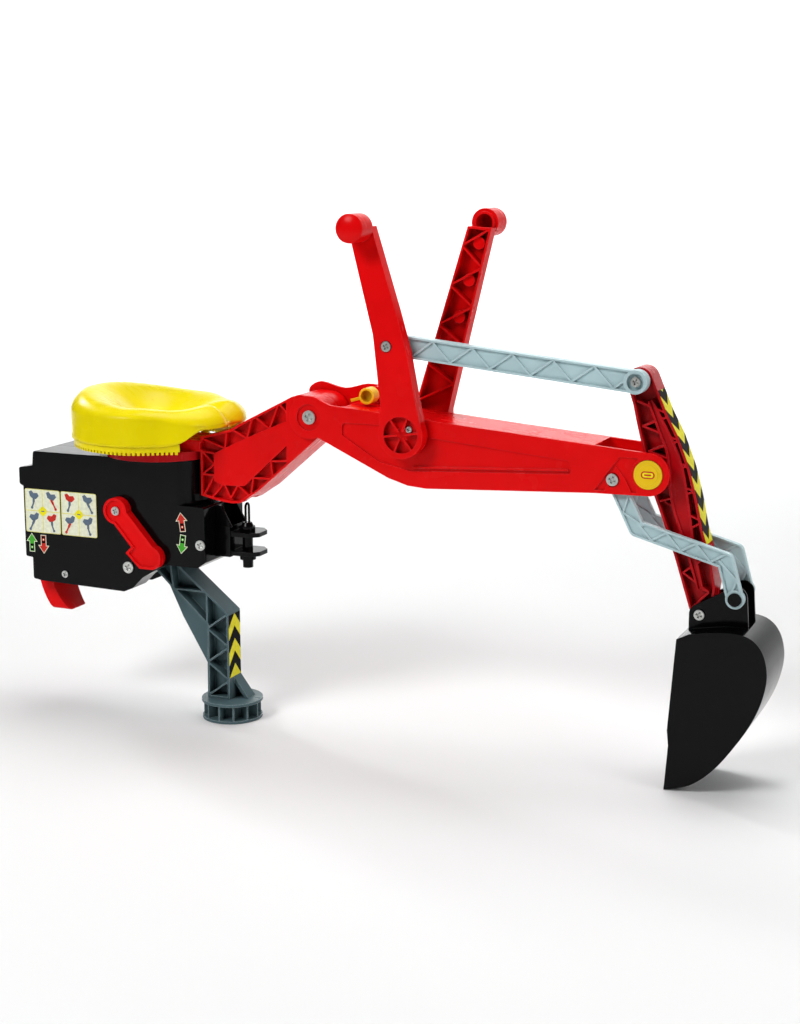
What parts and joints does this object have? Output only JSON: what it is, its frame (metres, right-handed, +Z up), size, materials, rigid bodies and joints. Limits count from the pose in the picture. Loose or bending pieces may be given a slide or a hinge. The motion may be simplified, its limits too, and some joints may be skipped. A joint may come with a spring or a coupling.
{
  "type": "toy backhoe loader",
  "caption": "Ride-on toy excavator attachment: seat on a slewing turntable, boom, dipper and bucket worked by two hand levers, fold-out support leg.",
  "frame": {"origin": "centre of the support foot's floor plate", "axes": "+X from the seat to the bucket along the arm, +Y to the far side (the side without the lock lever), +Z up"},
  "size_m": [1.0402, 0.236, 0.693],
  "materials": {
    "black_plastic": "glossy moulded",
    "steel": "zinc plated",
    "red_plastic": "glossy moulded",
    "yellow_plastic": "glossy moulded",
    "grey_plastic": "satin moulded",
    "guide_label": "printed film",
    "arrow_label": "printed film",
    "hazard_label": "printed film"
  },
  "bodies": {
    "chassis": {"housing_near": "black_plastic", "housing_far": "black_plastic", "housing_screws": "steel", "hitch_clevis": "black_plastic", "leg_axle": "steel", "latch_axle": "steel", "guide_sticker": "guide_label", "arrow_stickers": "arrow_label"},
    "leg": {"leg_frame": "grey_plastic", "foot": "grey_plastic", "leg_sticker": "hazard_label"},
    "lock_lever": {"lock_lever": "red_plastic", "lock_lever_screw": "steel"},
    "latch": {"tractor_latch": "red_plastic"},
    "hitch_pin": {"hitch_pin": "black_plastic", "hitch_pin_loop": "black_plastic"},
    "slew": {"turntable": "red_plastic", "kingpin": "steel", "kingpin_nut": "steel", "seat_screws": "steel", "seat": "yellow_plastic", "base_near": "red_plastic", "base_far": "red_plastic", "base_screws": "steel"},
    "boom": {"boom": "red_plastic", "boom_pivot_bolt": "steel", "boom_pivot_nut": "steel", "lever_axle": "steel", "link_bolt": "steel", "dipper_axle": "steel", "end_cap_near": "yellow_plastic", "end_cap_far": "yellow_plastic", "far_lever": "red_plastic", "far_grip": "red_plastic"},
    "lock_pin": {"lock_pin": "yellow_plastic"},
    "control_lever": {"near_lever": "red_plastic", "near_grip": "red_plastic", "hub_screw": "steel", "rod_lever_bolt": "steel"},
    "push_rod": {"push_rod": "grey_plastic"},
    "dipper": {"dipper": "red_plastic", "dipper_sticker": "hazard_label", "rod_end_bolt": "steel"},
    "links": {"link_near": "grey_plastic", "link_far": "grey_plastic"},
    "bucket": {"bucket": "black_plastic", "bucket_bolt": "steel", "bucket_link_pin": "black_plastic"}
  },
  "joints": [
    {"name": "slew", "type": "hinge", "parent": "chassis", "child": "slew", "pos_m": [-0.1, 0, 0.36], "axis": [0, 0, 1], "range_deg": [-90, 90]},
    {"name": "boom_lift", "type": "hinge", "parent": "slew", "child": "boom", "pos_m": [0.139, 0, 0.428], "axis": [0, -1, 0], "range_deg": [-12, 30]},
    {"name": "lever_swing", "type": "hinge", "parent": "boom", "child": "control_lever", "pos_m": [0.275, 0, 0.416], "axis": [0, 1, 0], "range_deg": [-20, 20]},
    {"name": "rod_pivot", "type": "hinge", "parent": "control_lever", "child": "push_rod", "pos_m": [0.256, -0.03, 0.526], "axis": [0, 1, 0], "range_deg": [-20, 20]},
    {"name": "dipper_swing", "type": "hinge", "parent": "boom", "child": "dipper", "pos_m": [0.588, 0, 0.385], "axis": [0, 1, 0], "range_deg": [-20, 20]},
    {"name": "bucket_curl", "type": "hinge", "parent": "dipper", "child": "bucket", "pos_m": [0.652, 0, 0.216], "axis": [0, 1, 0], "range_deg": [-14.4, 14.4]},
    {"name": "link_swing", "type": "hinge", "parent": "boom", "child": "links", "pos_m": [0.544, 0, 0.376], "axis": [0, 1, 0], "range_deg": [-18.6, 18.6]},
    {"name": "leg_fold", "type": "hinge", "parent": "chassis", "child": "leg", "pos_m": [-0.126, 0, 0.21], "axis": [0, 1, 0], "range_deg": [0, 80]},
    {"name": "lock_lever_turn", "type": "hinge", "parent": "chassis", "child": "lock_lever", "pos_m": [-0.137, -0.06, 0.289], "axis": [0, -1, 0], "range_deg": [0, 45]},
    {"name": "latch_swing", "type": "hinge", "parent": "chassis", "child": "latch", "pos_m": [-0.19, 0, 0.195], "axis": [0, 1, 0], "range_deg": [0, 25]},
    {"name": "hitch_pin_lift", "type": "slide", "parent": "chassis", "child": "hitch_pin", "axis": [0, 0, 1], "range_m": [0, 0.045]},
    {"name": "lock_pin_pull", "type": "slide", "parent": "boom", "child": "lock_pin", "axis": [0, -1, 0], "range_m": [0, 0.03]}
  ],
  "couplings": [
    {"joint": "rod_pivot", "follows": "lever_swing", "ratio": -1},
    {"joint": "dipper_swing", "follows": "lever_swing", "ratio": 1},
    {"joint": "bucket_curl", "follows": "lever_swing", "ratio": 0.72},
    {"joint": "link_swing", "follows": "lever_swing", "ratio": 0.93}
  ]
}
